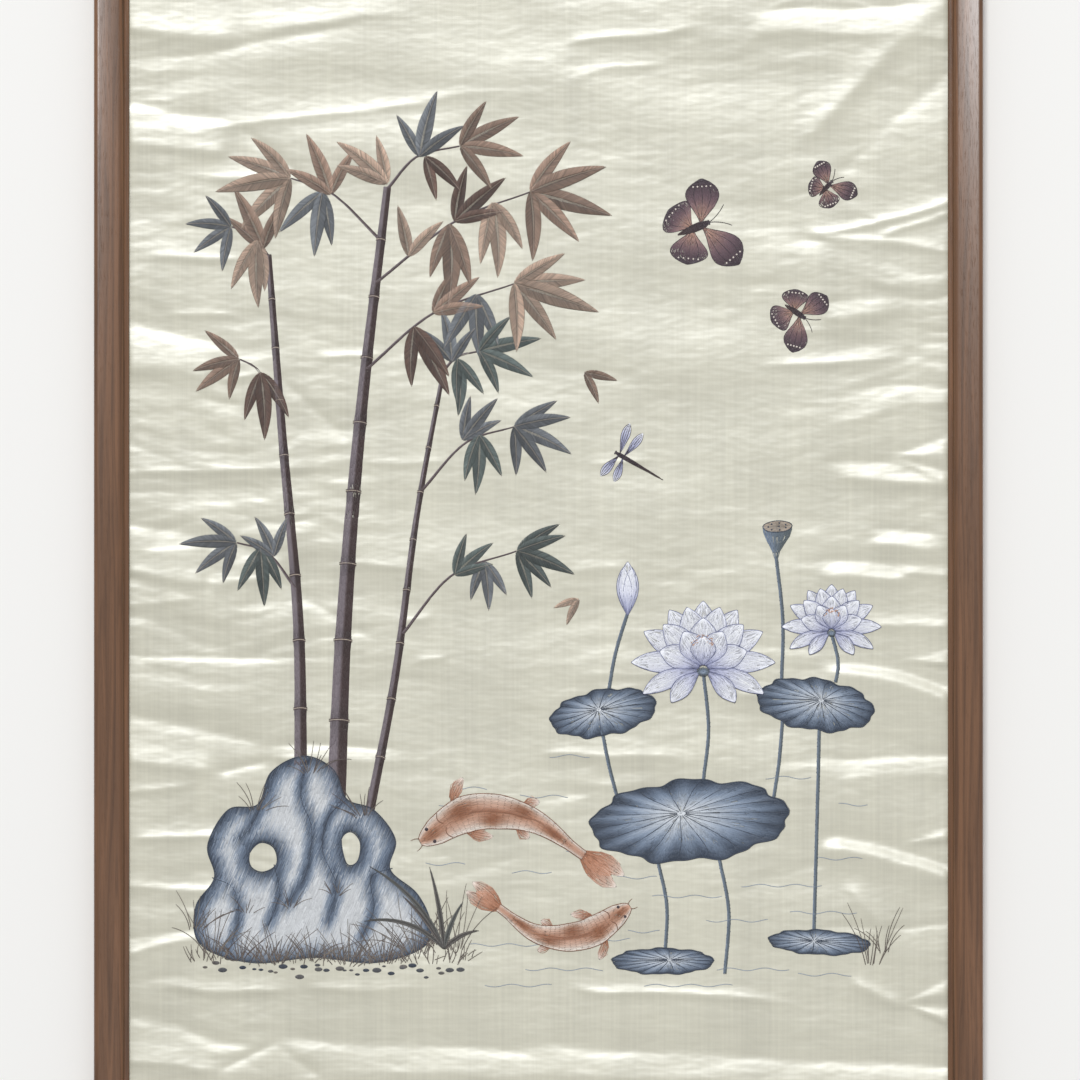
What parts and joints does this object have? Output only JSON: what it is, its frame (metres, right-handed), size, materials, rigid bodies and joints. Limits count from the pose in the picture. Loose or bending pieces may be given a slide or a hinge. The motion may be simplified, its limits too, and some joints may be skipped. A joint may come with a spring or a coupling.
{
  "type": "silk embroidery panel with wood frame",
  "caption": "Satin-weave silk cloth with hand embroidery, stretched on a wooden strainer inside a plain mitred wood frame.",
  "frame": {"origin": "centre of the frame's back face, on the surface that the frame lies on", "axes": "+Z out of the picture's face, +Y towards the picture's top, +X to its right"},
  "size_m": [0.658, 0.864, 0.024],
  "materials": {
    "frame_wood": "brown wood, satin lacquer",
    "strainer_wood": "planed softwood, bare",
    "silk": "glossy ivory silk satin, wrinkled, with raised silk stitches"
  },
  "bodies": {
    "root": {"frame_top": "frame_wood", "frame_bottom": "frame_wood", "frame_left": "frame_wood", "frame_right": "frame_wood", "strainer_top": "strainer_wood", "strainer_bottom": "strainer_wood", "strainer_left": "strainer_wood", "strainer_right": "strainer_wood", "silk": "silk"}
  },
  "joints": []
}
